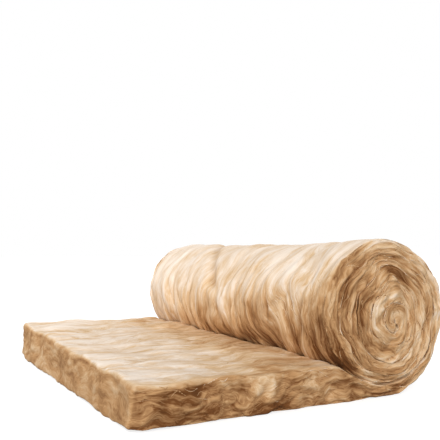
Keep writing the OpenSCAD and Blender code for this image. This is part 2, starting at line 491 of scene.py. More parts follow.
def places_of(winding, unrolled, yz):
    """The coordinates that patches fade over.

    along, across and through are the unrolled ones, outwards is the distance from the middle of the width,
    askew runs along and a little across, rolled is along from the roll's middle, past_outer along from the
    end of the outer turn, from_hollow along from the patch of painted shade on the near side, and angle
    goes from the top of the roll down its front. height is over the floor. behind, above and from_eye are
    from the eye, and from_crease is from the crease, all in radii of the roll.
    """
    along, across, through = np.moveaxis(unrolled, -1, 0)
    radius = winding.radius[1]
    height = yz[..., 1]
    behind = (yz[..., 0] - winding.middle_y) / radius
    above = (height - winding.centre[1]) / radius
    return {
        "along": along, "across": across, "through": through, "height": height,
        "outwards": np.abs(across),
        "askew": along + ASKEW * across,
        "rolled": along - winding.free_length,
        "past_outer": along - winding.start[2],
        "angle": winding.front_angle(along),
        "behind": behind, "above": above, "from_eye": np.hypot(behind, above),
        "from_hollow": np.abs(along - SIDE_SHADE_AT),
        "from_crease": np.hypot(behind - CREASE_BEHIND, (height - CREASE_HEIGHT) / radius),
    }


# How rough the wool is, 0 to 1: the skin is calm above, and ragged down its front and back
SKIN_RAGGED = (
    patch(0.22),
    patch(0.50, angle=(0.7, 1.8)),
    patch(0.40, angle=(0.1, 1.3), across=(-0.1, 0.5)),
    patch(0.35, angle=(-0.4, -1.6)),
)
TOP_RAGGED = (patch(0.50), patch(0.15, along=(0.2, 0.5)))
SIDE_RAGGED = 0.85
CUT_RAGGED = 0.45
# Wavelengths and strength of the mottling of that roughness
RAGGED_WAVE = (0.2, 0.13, 0.2)
RAGGED_VARIES = 0.5


def raggedness(places, unrolled, turn_t):
    """How rough the faces are: the sum of their patches, mottled by a broad noise."""
    faces = np.where(turn_t < 0, patched(SKIN_RAGGED, places), patched(TOP_RAGGED, places))
    return np.clip(faces * (1 + RAGGED_VARIES * waves(unrolled, RAGGED_WAVE, 25)), 0, 1)


# Stretches that several tones share
FAR_END = (-0.25, -0.5)
DOWN_FRONT = (0.8, 2.3)
RIM = (0.40, 0.58)
RIM_ANGLES = (-0.1, 1.5, 2.8, 2.2)
PAST_CORNER = (0.10, 0.18)
# How pale the wool is, about -1 for brown to 1 for milk white, in good part painted light and shade. The
# skin has painted light at its far end, and painted shade down its front, most of all in the middle, at the
# near end and just above the crease, and at its rims, less at the far rim. It is also browner down its back.
SKIN_TONES = (
    patch(0.87),
    patch(0.22, across=FAR_END),
    patch(-0.97, angle=DOWN_FRONT),
    patch(0.60, angle=DOWN_FRONT, across=FAR_END),
    patch(-0.40, angle=DOWN_FRONT, across=(-0.2, 0.5)),
    patch(-0.50, angle=(1.5, 2.2), across=(-0.35, -0.1, 0.45, 0.2)),
    patch(-0.90, angle=(-0.3, -1.8)),
    patch(-0.70, outwards=RIM, angle=RIM_ANGLES),
    patch(0.50, outwards=RIM, angle=RIM_ANGLES, across=FAR_END),
)
# Painted shade makes the top of the free end browner towards the crease; its near edge also gets browner
# towards the cut end
TOP_TONES = (
    patch(0.87),
    patch(-1.05, askew=(0.18, 0.55)),
    patch(0.60, across=(0.40, 0.56), along=(0.36, 0.54)),
    patch(-0.60, across=(0.47, 0.57), along=(0.44, 0.36)),
)
# Painted light and shade on the turns: they are browner in front, where they face the free end, and at the
# eye, and paler over the top and at the far rim
TURN_TONES = (
    patch(-0.05),
    patch(-0.55, behind=(-0.15, -0.75)),
    patch(0.06, behind=(0.45, 0.95)),
    patch(-0.12, from_eye=(0.25, 0.45, 0.95, 0.65)),
    patch(-0.25, from_eye=(0.35, 0.15)),
    patch(0.30, from_eye=(0.7, 1.0), above=(0.1, 0.8)),
    patch(0.70, past_outer=(0.0, -0.1), across=FAR_END, through=(0.02, 0.0)),
)
# The near side of the free end is brown, with painted shade at its foot and in a patch part way along it,
# and painted light along its top
NEAR_SIDE_TONES = (
    patch(-0.66),
    patch(-0.16, along=(0.5, 0.2)),
    patch(-0.12, along=(0.18, 0.10)),
    patch(0.30, along=(0.07, 0.0)),
    patch(0.75, along=PAST_CORNER, height=(0.05, 0.10)),
    patch(-0.30, along=PAST_CORNER, height=(0.04, 0.0)),
    patch(-0.25, from_hollow=(0.07, 0.0)),
    patch(0.45, along=(0.40, 0.50), height=(0.02, 0.07)),
)
FAR_SIDE_TONE = -0.5
CUT_TONES = (patch(-0.45), patch(0.25, across=(0.42, 0.56)))
# Where the side edges belong to the wound turns, and the painted shade that makes them browner at the crease
WOUND = (patch(1.0, rolled=(-0.1, 0.2)),)
CREASE_SHADE = (patch(1.0, from_crease=(0.26, 0.0)),)
# Wavelengths and strength of the mottling of the turns
TURN_WAVE = (0.15, 1.0, 0.022)
TURN_VARIES = 0.45


def tone_light_and_shade(places, unrolled, turn_t, side, cut):
    """How pale the wool is, partly painted light and shade: the sum of the patches of the faces, of the side
    edges and of the cut end.
    """
    faces = np.where(turn_t < 0, patched(SKIN_TONES, places), patched(TOP_TONES, places))
    turns = patched(TURN_TONES, places) + TURN_VARIES * waves(unrolled, TURN_WAVE, 26)
    loose = np.where(places["across"] > 0, patched(NEAR_SIDE_TONES, places), FAR_SIDE_TONE)
    edges = loose + patched(WOUND, places) * (turns - loose) - patched(CREASE_SHADE, places)
    return blend(side, cut, faces, edges, patched(CUT_TONES, places))


# How the whole blanket shifts: wavelength, and reaches across, back and up
SHIFT_WAVE = 0.12
SHIFT_REACH = (0.004, 0.006, 0.006)
# Lumps and tufts on the ends, and the wander and ripple of the turns inside the roll: wavelength and reach
END_LUMPS = (0.085, 0.007)
END_TUFTS = (0.048, 0.0035)
TURN_WANDER = (0.10, 0.016)
TURN_RIPPLE = (0.05, 0.005)
# Share of the half width past which the lumps of the ends rise
END_START = 0.9
# How the turns at the eye lie: further back and up, and taller than wide
EYE_SHIFT = (0.008, 0.014)
EYE_TALL = 0.14
EYE_NARROW = 0.06
# The waist: its place across, share of the half width that it takes, share of it that the ends have too, and
# the heights between which it comes in
WAIST_PLACE = -0.04
WAIST_REACH = 0.7
WAIST_AT_ENDS = 0.4
WAIST_HEIGHTS = (0.2, 0.4)
# Heights over the floor between which all of this comes in, and the share of the way to the cut end at which
# the swell to the back starts
SHIFT_HEIGHTS = (0.0, 0.06)
BACK_START = 1 / 8


def lumps(points, wave, seed):
    """Noise of places, with a wavelength and a reach in metres."""
    wavelength, reach = wave
    return reach * wool_noise(points / wavelength, seed)


def warp(winding, points):
    """Moves points by a broad noise of their place, so that turns that touch stay together.

    It fades out at the floor, where the blanket lies flat. The turns inside the roll wander more than the
    outer one, lumps on the ends reach over several turns, the middle and the back of the roll also move
    back, and the roll is lower between its ends.
    """
    sizes = winding.sizes
    across, y, height = np.moveaxis(points, -1, 0)
    back, up = y - winding.middle_y, height - winding.centre[1]
    inside = np.maximum(1 - (back ** 2 + up ** 2) / winding.radius[1] ** 2, 0)
    shift = np.stack([wool_noise(points / SHIFT_WAVE, seed) for seed in (61, 62, 63)], axis=-1)
    shift *= np.array(SHIFT_REACH)

    wavelength, reach = END_TUFTS
    rough = lumps(points, END_LUMPS, 64) + reach * pillows(wool_noise(points / wavelength, 67))
    shift[..., 0] += rough * np.sign(across) * smooth_step(END_START * HIGH.x, HIGH.x, np.abs(across))
    shift[..., 1] += inside * (lumps(points, TURN_WANDER, 65) + lumps(points, TURN_RIPPLE, 68))
    shift[..., 2] += inside * (lumps(points, TURN_WANDER, 66) + lumps(points, TURN_RIPPLE, 69))
    shift[..., 1] += inside * (EYE_SHIFT[0] * inside - EYE_NARROW * back)
    shift[..., 2] += inside * (EYE_SHIFT[1] * inside + EYE_TALL * up)
    shift[..., 1] += sizes.back_swell * smooth_step(BACK_START * LOW.y, winding.middle_y, y)
    middle = smooth_step(HIGH.x, WAIST_REACH * HIGH.x, np.abs(across - WAIST_PLACE))
    waist = sizes.waist * (WAIST_AT_ENDS + (1 - WAIST_AT_ENDS) * middle)
    shift[..., 2] -= waist * smooth_step(*WAIST_HEIGHTS, height)
    return points + shift * smooth_step(*SHIFT_HEIGHTS, height)[..., None]


# Wander of the side edges: wavelength, reach and seed
EDGE_WANDERS = ((0.15, 0.004, 51), (0.05, 0.002, 52))
# Where the blanket's edges turn into those of the wound turns, along from the roll's middle
EDGE_CHANGE = (-0.25, 0.1)
# Gaps between turns: share that is always open, share that opens where the noise rises, its wavelength, the
# share that the turns at the eye keep, and the half turn, from the eye, at which they are full
GAP_LEAST = 0.03
GAP_OPENS = 0.85
GAP_NOISE = (-0.1, 0.45)
GAP_WAVE = 0.08
EYE_GAPS = 0.4
FULL_GAPS = -4
# Largest radius of an edge, as a share of the thickness
MOST_ROUND = 0.48
# Where the outer turn's rim starts to lean in, along from the roll's middle, and ends, past the outer turn
LEAN_STARTS = (-0.05, 0.25)
LEAN_ENDS = (0.4, 0.0)
# Where the slant of the cut end fades out along the blanket, and the share of the far half that keeps it
SLANT_ENDS = (0.2, 0.0)
SLANT_SIDE = 0.7
# Painted light and shade on the relief: how much paler crests are than valleys, the crest values between
# which a valley gets painted shade, and how much
CREST_LIGHT_AND_SHADE = 0.45
VALLEYS = (-0.25, -0.6)
VALLEY_SHADE = 0.35
# Painted shade in the gap between two turns: depths in from the ends at which it gets dark, and how that
# varies along it
GAP_DEPTHS = (0.006, 0.026)
GAP_DARK = 0.7
GAP_VARIES = 0.3
GAP_DARK_WAVE = 0.07


def edge_radii(winding, along, end, thick, inset):
    """Radii of the edges at the outer and at the inner side, and how far the gap between turns is open.

    The free end has radii of its own. In the roll they open and close along the gap, and less at the eye.
    """
    sizes = winding.sizes
    gaping = GAP_LEAST + GAP_OPENS * smooth_step(*GAP_NOISE, edge_waves(along, end, GAP_WAVE, 54))
    outside = smooth_step(winding.start[-1], winding.start[FULL_GAPS], along)
    gaping = gaping * (EYE_GAPS + (1 - EYE_GAPS) * outside)
    wound = smooth_step(*EDGE_CHANGE, along - winding.free_length)
    radii = []
    for free in (sizes.foot_radius, sizes.edge_radius):
        radius = np.minimum(free + wound * (gaping * sizes.turn_radius - free), MOST_ROUND * thick)
        radii.append(np.maximum(radius - inset, 0))
    return (*radii, gaping)


class Surface:
    """A stretch of the blanket's surface on a grid of rings along it and points round its section.

    points and facing are the places and directions, flow the unrolled coordinates that strands follow,
    ragged how rough the wool is, hollow the painted shade in creases, gaps and valleys, up to 1,
    tone how pale the wool is, with painted light and shade in it, and cross 1 on the cut end, where strands
    run across. A ring's inset is how far it lies in from the section's outline, gather 1 where it has shrunk
    to a line, and turned the angle by which it faces the cut end.
    """

    def __init__(self, winding, shape, along, inset, gather, turned):
        sizes = winding.sizes
        span, rise, turn_x, turn_t = (values[None, :] for values in shape)
        along, inset, gather, turned = (values[:, None] for values in (along, inset, gather, turned))

        # The side edges wander in and out a little, each turn by itself, and round off at the cut end
        end = np.sign(span + turn_x)
        wander = sum(reach * edge_waves(along, end, wave, seed) for wave, reach, seed in EDGE_WANDERS)
        before = np.maximum(sizes.corner_radius - along, 0)
        corner = sizes.corner_radius - np.sqrt(sizes.corner_radius ** 2 - before ** 2)
        coil = smooth_step(winding.start[1], winding.start[-1], along)
        half_width = HIGH.x + sizes.edge_swell + sizes.eye_swell * coil + wander - corner

        outer, inner = winding.sides(*np.broadcast_arrays(along, span * half_width))
        through = inner - outer
        thick = np.linalg.norm(through, axis=-1)
        through = through / thick[..., None]
        thick = thick - sizes.turn_gap
        inset = inset + gather * (thick / 2 - sizes.cut_radius)
        foot, head, gaping = edge_radii(winding, along, end, thick, inset)
        depth = inset + foot * (1 + np.minimum(turn_t, 0)) + head * np.maximum(turn_t, 0)
        depth += rise * (thick - 2 * inset - foot - head)
        share = depth / thick

        # The rim of the outer turn leans in towards its outer side
        outer_turn = smooth_step(*LEAN_STARTS, along - winding.start[0])
        outer_turn = outer_turn * smooth_step(*LEAN_ENDS, along - winding.start[2])
        recess = sizes.rim_recess * outer_turn * (1 - share) ** 2
        radius = foot + rise * (head - foot)
        across = (span * (half_width - inset - radius) + radius * turn_x) * (1 - recess / half_width)

        unrolled = np.stack([np.broadcast_to(along, depth.shape), across, depth], axis=-1)
        yz = outer + through * depth[..., None]
        slant = smooth_step(*SLANT_ENDS, along) * smooth_step(LOW.x, SLANT_SIDE * LOW.x, across)
        yz[..., 0] -= sizes.cut_radius * np.sin(turned) + sizes.cut_slant * (1 - share) * slant
        lean = np.cos(turned)
        self.facing = np.stack(
            [turn_x * lean + 0 * depth, turn_t * through[..., 0] * lean - np.sin(turned),
             turn_t * through[..., 1] * lean], axis=-1)

        # Strands take no notice of how far the edges stand out
        smooth_across = span * (HIGH.x - inset - radius) + radius * turn_x
        self.flow = flow_of(np.stack([unrolled[..., 0], smooth_across, depth], axis=-1))
        cut = np.sin(turned) ** 2 + 0 * depth
        side = turn_x ** 2 * (1 - cut)
        shown = shown_share(winding, along, turn_t)
        places = places_of(winding, unrolled, yz)
        ragged = raggedness(places, unrolled, turn_t)
        reliefs = zip(
            face_relief(winding, unrolled, self.flow, ragged, shown), side_relief(winding, unrolled, share),
            cut_relief(unrolled, share))
        out, crest = (blend(side, cut, *parts) for parts in reliefs)
        points = np.concatenate([across[..., None], yz], axis=-1) + self.facing * out[..., None]
        self.points = warp(winding, points)
        self.points[..., 2] = np.maximum(self.points[..., 2], FLOOR_GAP)
        self.cross = cut
        self.ragged = blend(side, cut, ragged, SIDE_RAGGED, CUT_RAGGED)
        # Tone, with painted light on the crests and painted shade in the valleys
        self.tone = tone_light_and_shade(places, unrolled, turn_t, side, cut) + CREST_LIGHT_AND_SHADE * crest

        # Painted shade: creases darken between turns, under the roll's front and in the valleys of the
        # relief
        dark = GAP_DARK + GAP_VARIES * edge_waves(along, end, GAP_DARK_WAVE, 53)
        gap_shade = smooth_step(*GAP_DEPTHS, half_width - np.abs(across)) * (1 - shown) * gaping * dark
        self.hollow = np.clip(np.maximum(gap_shade, VALLEY_SHADE * smooth_step(*VALLEYS, crest)), 0, 1)


# What the material reads at each vertex besides the flow: how rough the wool is, how much painted shade it
# has in creases, gaps, valleys and under locks, how pale, and whether its strands run across the blanket
ATTRIBUTES = ("ragged", "hollow", "tone", "cross")


def new_mesh(name, points, faces, flow, values):
    """A smooth mesh with what the material reads at each vertex, and with points that meet made one."""
    mesh = bpy.data.meshes.new(name)
    mesh.from_pydata(points.reshape(-1, 3), [], faces)
    mesh.attributes.new("flow", "FLOAT_VECTOR", "POINT").data.foreach_set("vector", np.ravel(flow))
    for key in ATTRIBUTES:
        mesh.attributes.new(key, "FLOAT", "POINT").data.foreach_set("value", np.ravel(values[key]))
    weld = bmesh.new()
    weld.from_mesh(mesh)
    bmesh.ops.remove_doubles(weld, verts=weld.verts, dist=WELD)
    weld.to_mesh(mesh)
    weld.free()
    mesh.polygons.foreach_set("use_smooth", np.ones(len(mesh.polygons), dtype=bool))
    mesh.update()
    return mesh


def tube_faces(rings):
    """Faces of closed tubes whose point numbers are an array of (tube, ring, point round it).

    They are quads between the rings of each tube, and a cap on both its ends, all facing outwards.
    """
    following = np.roll(rings, -1, axis=2)
    walls = [rings[:, :-1], rings[:, 1:], following[:, 1:], following[:, :-1]]
    walls = np.stack(walls, axis=-1).reshape(-1, len(walls))
    return walls.tolist() + rings[:, 0].tolist() + rings[:, -1, ::-1].tolist()


def mesh_of_grid(name, surface):
    """One closed tube along the rings of a surface."""
    rings = np.arange(surface.tone.size).reshape(1, *surface.tone.shape)
    values = {key: getattr(surface, key) for key in ATTRIBUTES}
    return new_mesh(name, surface.points, tube_faces(rings), surface.flow, values)


def add_object(scene, name, data):
    """Puts a mesh, a lamp or a camera into the scene as an object."""
    made = bpy.data.objects.new(name, data)
    scene.collection.objects.link(made)
    return made


def add_piece(context, mesh):
    """Puts a mesh into the scene as a piece of the blanket with its material and body, and hides the
    imported part.
    """
    piece = add_object(context.scene, mesh.name, mesh)
    mesh.materials.append(wool_material(context.scene.wool_colours))
    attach(piece, BODY)
    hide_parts(NODE)


# Stretches of the blanket

# Rings along each stretch and on the cut face, and points across the faces that show and that are hidden
FREE_RINGS = 138
FREE_ACROSS = 200
FACE_RINGS = 10
OUTER_RINGS = 272
OUTER_ACROSS = 224
HIDDEN_ACROSS = 14
INNER_RINGS = 560


def free_surface(winding):
    """The free end: rings from the middle line of the cut face out to its rim, then along the floor.

    On the cut face the section shrinks towards its own middle line, and round the rim it turns through a
    quarter circle.
    """
    rim = winding.sizes.cut_radius
    gather = np.linspace(1, 0, FACE_RINGS)
    quarter = np.linspace(math.pi / 2, 0, CORNER_POINTS + 2)[1:-1]
    flat = np.linspace(rim, winding.free_length, FREE_RINGS)
    face, bend, still = np.ones(FACE_RINGS), np.ones(CORNER_POINTS), np.zeros(FREE_RINGS)
    return Surface(
        winding, section(FREE_ACROSS, FREE_ACROSS),
        along=np.concatenate([rim * face, rim * bend, flat]),
        inset=np.concatenate([rim * face, rim * (1 - np.cos(quarter)), still]),
        gather=np.concatenate([gather, 0 * bend, still]),
        turned=np.concatenate([math.pi / 2 * face, quarter, still]))


def wound_surface(winding, first, last, rings, across):
    """A stretch of the roll from one half turn to another."""
    still = np.zeros(rings)
    along = np.linspace(winding.start[first], winding.start[last], rings)
    return Surface(winding, section(across, HIDDEN_ACROSS), along, still, still, still)


def outer_surface(winding):
    """The outer turn of the roll, from under it, up behind, over the top and down the front."""
    return wound_surface(winding, 0, 2, OUTER_RINGS, OUTER_ACROSS)


def inner_surface(winding):
    """The turns inside the outer one, as far as the eye."""
    return wound_surface(winding, 2, -1, INNER_RINGS, HIDDEN_ACROSS)


class WOOL_OT_free_end(bpy.types.Operator):
    """Builds the free end of the blanket"""
    bl_idname = "wool.free_end"
    bl_label = "Free end"

    def execute(self, context):
        surface = free_surface(Winding(context.scene.blanket_sizes))
        add_piece(context, mesh_of_grid("free_end", surface))
        return {"FINISHED"}


class WOOL_OT_outer_turn(bpy.types.Operator):
    """Builds the outer turn of the roll"""
    bl_idname = "wool.outer_turn"
    bl_label = "Outer turn"

    def execute(self, context):
        surface = outer_surface(Winding(context.scene.blanket_sizes))
        add_piece(context, mesh_of_grid("outer_turn", surface))
        return {"FINISHED"}


class WOOL_OT_inner_turns(bpy.types.Operator):
    """Builds the turns inside the outer one"""
    bl_idname = "wool.inner_turns"
    bl_label = "Inner turns"

    def execute(self, context):
        surface = inner_surface(Winding(context.scene.blanket_sizes))
        add_piece(context, mesh_of_grid("inner_turns", surface))
        return {"FINISHED"}


# Locks of fibre

# Places of two of the unrolled coordinates
ACROSS = 1
THROUGH = 2
# Where the parts of a field's values end: point, facing, flow, tone, and raggedness after them
FIELD_PARTS = (3, 6, 9, 10)
# Steps that find a strand's way, and the most columns that one step goes
FOLLOW_STEPS = 5
FOLLOW_REACH = 2
# Rings along a lock, points round it, and its height as a share of its width
LOCK_STEPS = 16
LOCK_SIDES = 3
LOCK_FLATNESS = 0.6
# Shares of its length where a lock starts and stops, and the power that its width tapers by
LOCK_ENDS = (0.01, 0.99)
LOCK_TAPER = 0.7
# Share of its height that a lock lies sunk in the wool, and how far its tips dive into it
LOCK_SUNK = 0.2
LOCK_SINK = 0.003
# Share of its wander that is a wave, and the least and most turns of that wave
LOCK_WAVE = 0.6
LOCK_WAVES = (0.5, 1.5)
# Painted shade on the underside of a lock: how much browner its tone is, and how much painted shade it adds
UNDER_SHADE_TONE = 0.07
UNDER_SHADE = 0.0175
# Reach, across the flow, from which each lock takes strands of its own
LOCK_SPREAD = 3

# A kind of lock: least and most rows that it runs, columns that it wanders, least and most half width, and
# least and most that it is paler than the wool. Combed locks follow the strands, and loose ones stray.
Lock = namedtuple("Lock", "rows sway width tones")
COMBED = Lock((12, 34), 0.6, (0.0004, 0.0009), (-0.35, 0.35))
EDGE_COMBED = Lock((8, 22), 2.0, (0.0004, 0.0009), (-0.35, 0.35))
LOOSE = Lock((10, 24), 3.0, (0.0008, 0.0016), (-0.2, 0.1))
NEAR_LOOSE = Lock((10, 24), 2.5, (0.0008, 0.0018), (-0.2, 0.3))
END_LOOSE = Lock((8, 22), 6.0, (0.0008, 0.0022), (-0.3, 0.4))
SIDE_LOOSE = Lock((10, 24), 3.5, (0.0007, 0.0015), (0.1, 0.8))

# Seeds of the random draws on the skin, on the ends and on the free end
SKIN_SEED = 5
END_SEED = 6
FREE_SEED = 7
# Locks on the skin: rows and columns of the outer turn's grid, number and kind
SKIN_COLUMNS = (2, OUTER_ACROSS - 2)
NEAR_COLUMNS = (OUTER_ACROSS * 3 // 4, OUTER_ACROSS - 1)
SKIN_LOCKS = (
    ((16, 244), SKIN_COLUMNS, 900, COMBED),
    ((180, 244), SKIN_COLUMNS, 60, LOOSE),
    ((176, 246), NEAR_COLUMNS, 90, NEAR_LOOSE),
)
# Locks on each end of the outer turn and of the inner ones: number of loose ones, and combed ones for each
OUTER_LOOSE = 90
INNER_LOOSE = 170
COMBED_PER_LOOSE = 2
# Locks on the top of the free end, as far as the crease, and on each of its sides: number and kind
FLAT_START = FACE_RINGS + CORNER_POINTS
TOP_RUN = 96
TOP_MARGIN = 3
TOP_ROWS = (FLAT_START, FLAT_START + TOP_RUN)
TOP_COLUMNS = (FREE_ACROSS + RIM_POINTS + TOP_MARGIN, 2 * FREE_ACROSS + RIM_POINTS - TOP_MARGIN)
TOP_LOCKS = ((60, LOOSE), (500, COMBED))
SIDE_LOCKS = ((45, SIDE_LOOSE), (150, EDGE_COMBED))


class LockField:
    """A patch of a surface for locks to lie on, as a grid whose first axis is the way that they run.

    level is the flow coordinate that keeps its value along a strand: across on faces, through on edges.
    """

    def __init__(self, surface, rows, columns, level):
        self.level = FIELD_PARTS[1] + level
        grids = [
            surface.points, surface.facing, surface.flow, surface.tone[..., None], surface.ragged[..., None]]
        self.grid = np.concatenate(grids, axis=-1)[slice(*rows), slice(*columns)]

    def sample(self, row, column):
        """What lies at a row and a column, by straight mixes of the four grid points round it."""
        low_row = np.clip(np.floor(row).astype(int), 0, self.grid.shape[0] - 2)
        low_column = np.clip(np.floor(column).astype(int), 0, self.grid.shape[1] - 2)
        on, over = (row - low_row)[..., None], (column - low_column)[..., None]
        first, second = (
            self.grid[at, low_column] * (1 - over) + self.grid[at, low_column + 1] * over
            for at in (low_row, low_row + 1))
        return first * (1 - on) + second * on

    def follow(self, row, column):
        """Columns where the strand at the middle of each lock passes its rows, found by Newton's steps."""
        middle = row.shape[1] // 2
        wanted = self.sample(row, column)[:, middle:middle + 1, self.level]
        for _ in range(FOLLOW_STEPS):
            before, here, after = (
                self.sample(row, column + shift)[..., self.level] for shift in (-0.5, 0.0, 0.5))
            slope = np.where(np.abs(after - before) > WELD, after - before, WELD)
            column = column + np.clip((wanted - here) / slope, -FOLLOW_REACH, FOLLOW_REACH)
            column = np.clip(column, 0, self.grid.shape[1] - 1)
        return column


def lay_locks(field, random, count, kind):
    """Locks of a kind on a field: flat tapered tubes that rise out of the wool, sway, and dive back into it.

    At the share h of its length a lock is as wide as sin(pi h) to the power of its taper, and it wanders off
    its strand by a slope and a sine of its own.
    """
    def each(low, high):
        return random.uniform(low, high, (count, 1))

    rows, columns = field.grid.shape[:2]
    step = np.linspace(*LOCK_ENDS, LOCK_STEPS)[None, :]
    swell = np.sin(math.pi * step) ** LOCK_TAPER
    row = np.clip(each(0, rows - 1) + (step - 0.5) * each(*kind.rows), 0, rows - 1)
    wander = each(-1, 1) * (step - 0.5) + LOCK_WAVE * np.sin(TAU * (each(*LOCK_WAVES) * step + each(0, 1)))
    column = field.follow(row, each(0, columns - 1) + 0 * row)
    column = np.clip(column + kind.sway * wander, 0, columns - 1)
    points, facing, flow, tone, ragged = np.split(field.sample(row, column), FIELD_PARTS, axis=-1)
    half = (each(*kind.width) * swell)[..., None]
    centre = points - facing * (LOCK_SUNK * LOCK_FLATNESS * half + LOCK_SINK * (1 - swell)[..., None])
    aside = np.cross(np.gradient(centre, axis=1), facing)
    aside /= np.maximum(np.linalg.norm(aside, axis=-1, keepdims=True), WELD)

    round_it = np.arange(LOCK_SIDES) * TAU / LOCK_SIDES
    rings = [centre + half * (math.cos(a) * aside + LOCK_FLATNESS * math.sin(a) * facing) for a in round_it]
    rings = np.stack(rings, axis=2)
    rings[..., 2] = np.maximum(rings[..., 2], FLOOR_GAP)
    # Painted shade on each lock's underside, fading out towards its tips
    under = (1 - np.sin(round_it)) * swell[..., None] + np.zeros(rings.shape[:3])
    own_tone = tone + each(*kind.tones)[..., None] - UNDER_SHADE_TONE * under
    own_flow = flow + each(0, LOCK_SPREAD)[..., None] * np.eye(3)[ACROSS]
    own_flow = np.broadcast_to(own_flow[:, :, None, :], rings.shape)
    return rings, own_flow, np.broadcast_to(ragged, under.shape), UNDER_SHADE * under, own_tone


def mesh_of_locks(name, lays):
    """One mesh of all the locks, each a closed tube."""
    points, flow, ragged, hollow, tone = (np.concatenate(lay) for lay in zip(*lays))
    rings = np.arange(tone.size).reshape(tone.shape)
    values = {"ragged": ragged, "hollow": hollow, "tone": tone, "cross": np.zeros(tone.shape)}
    return new_mesh(name, points, tube_faces(rings), flow, values)


def edge_columns(across):
    """Where a section has its near edge, and its far edge."""
    return (across, across + RIM_POINTS), (-RIM_POINTS, None)


class WOOL_OT_skin_locks(bpy.types.Operator):
    """Lays the locks on the roll's skin"""
    bl_idname = "wool.skin_locks"
    bl_label = "Skin locks"

    def execute(self, context):
        random = np.random.default_rng(SKIN_SEED)
        surface = outer_surface(Winding(context.scene.blanket_sizes))
        lays = [
            lay_locks(LockField(surface, rows, columns, ACROSS), random, count, kind)
            for rows, columns, count, kind in SKIN_LOCKS]
        add_piece(context, mesh_of_locks("skin_locks", lays))
        return {"FINISHED"}


class WOOL_OT_end_locks(bpy.types.Operator):
    """Lays the locks on both ends of the roll"""
    bl_idname = "wool.end_locks"
    bl_label = "End locks"

    def execute(self, context):
        random = np.random.default_rng(END_SEED)
        winding = Winding(context.scene.blanket_sizes)
        outer = outer_surface(winding), OUTER_ACROSS, OUTER_LOOSE
        inner = inner_surface(winding), HIDDEN_ACROSS, INNER_LOOSE
        lays = []
        for surface, across, count in (outer, inner):
            for columns in edge_columns(across):
                field = LockField(surface, (0, None), columns, THROUGH)
                lays.append(lay_locks(field, random, count, END_LOOSE))
                lays.append(lay_locks(field, random, COMBED_PER_LOOSE * count, EDGE_COMBED))
        add_piece(context, mesh_of_locks("end_locks", lays))
        return {"FINISHED"}


class WOOL_OT_free_locks(bpy.types.Operator):
    """Lays the locks on the top and the sides of the free end"""
    bl_idname = "wool.free_locks"
    bl_label = "Free end locks"

    def execute(self, context):
        random = np.random.default_rng(FREE_SEED)
        surface = free_surface(Winding(context.scene.blanket_sizes))
        top = LockField(surface, TOP_ROWS, TOP_COLUMNS, ACROSS)
        lays = [lay_locks(top, random, count, kind) for count, kind in TOP_LOCKS]
        for columns in edge_columns(FREE_ACROSS):
            side = LockField(surface, (FLAT_START, None), columns, THROUGH)
            lays += [lay_locks(side, random, count, kind) for count, kind in SIDE_LOCKS]
        add_piece(context, mesh_of_locks("free_locks", lays))
        return {"FINISHED"}


# Materials

class Shade:
    """A socket of a material's node tree that Python's operators work on."""

    def __init__(self, tree, socket=None):
        self.tree = tree
        self.socket = socket

    def node(self, kind, settings, inputs, output=0):
        """Adds a node of a kind with its settings, then sets or links its sockets, and gives one output."""
        made = self.tree.nodes.new(kind)
        for key, value in settings.items():
            if key == "stops":
                self.set_stops(made.color_ramp, value)
            else:
                setattr(made, key, value)
        for key, value in inputs.items():
            if isinstance(value, Shade):
                self.tree.links.new(value.socket, made.inputs[key])
            else:
                made.inputs[key].default_value = value
        return Shade(self.tree, made.outputs[output]) if len(made.outputs) else made

    @staticmethod
    def set_stops(ramp, stops):
        """Gives a ramp its stops, each a place and a colour."""
        while len(ramp.elements) < len(stops):
            ramp.elements.new(1.0)
        for element, (place, colour) in zip(ramp.elements, stops):
            element.position = place
            element.color = (*colour, 1.0)

    def math(self, operation, first, second):
        """Adds a Math node of two values."""
        return self.node("ShaderNodeMath", {"operation": operation}, {0: first, 1: second})

    def __add__(self, other):
        return self.math("ADD", self, other)

    def __radd__(self, other):
        return self.math("ADD", other, self)

    def __sub__(self, other):
        return self.math("SUBTRACT", self, other)

    def __rsub__(self, other):
        return self.math("SUBTRACT", other, self)

    def __mul__(self, other):
        return self.math("MULTIPLY", self, other)

    def __rmul__(self, other):
        return self.math("MULTIPLY", other, self)


def bare_tree(owner):
    """Clears the nodes of a material or a world, and gives its tree to work on."""
    owner.use_nodes = True
    owner.node_tree.nodes.clear()
    return Shade(owner.node_tree)


def streaks(shade, place, cross, kind):
    """Noise from 0 to 1 with a scale along the strands and one across them.

    The strands run along the blanket, or across it where cross is 1.
    """
    noises = []
    for scale in (
            (kind.lengthwise, kind.crosswise, kind.crosswise),
            (kind.crosswise, kind.lengthwise, kind.crosswise)):
        stretched = shade.node("ShaderNodeVectorMath", {"operation": "MULTIPLY"}, {0: place, 1: scale})
        inputs = {"Vector": stretched, "Scale": 1.0, "Detail": kind.detail}
        noises.append(shade.node("ShaderNodeTexNoise", {}, inputs))
    return noises[0] + cross * (noises[1] - noises[0])


# Streaks: scale along and across the strands, detail, share in the bump, and how strongly they show in the
# colour of calm wool, and more so of ragged wool
Streak = namedtuple("Streak", "lengthwise crosswise detail bump calm ragged")
STREAKS = (
    Streak(5.0, 26.0, 2.0, 0.42, 0.35, 0.45),
    Streak(9.0, 95.0, 3.0, 0.38, 0.16, 0.60),
    Streak(22.0, 330.0, 2.0, 0.20, 0.12, 0.35),
)
MOTTLE = Streak(14.0, 20.0, 2.0, 0.0, 0.45, 0.0)
# Middle value of a noise
MIDDLE = 0.5
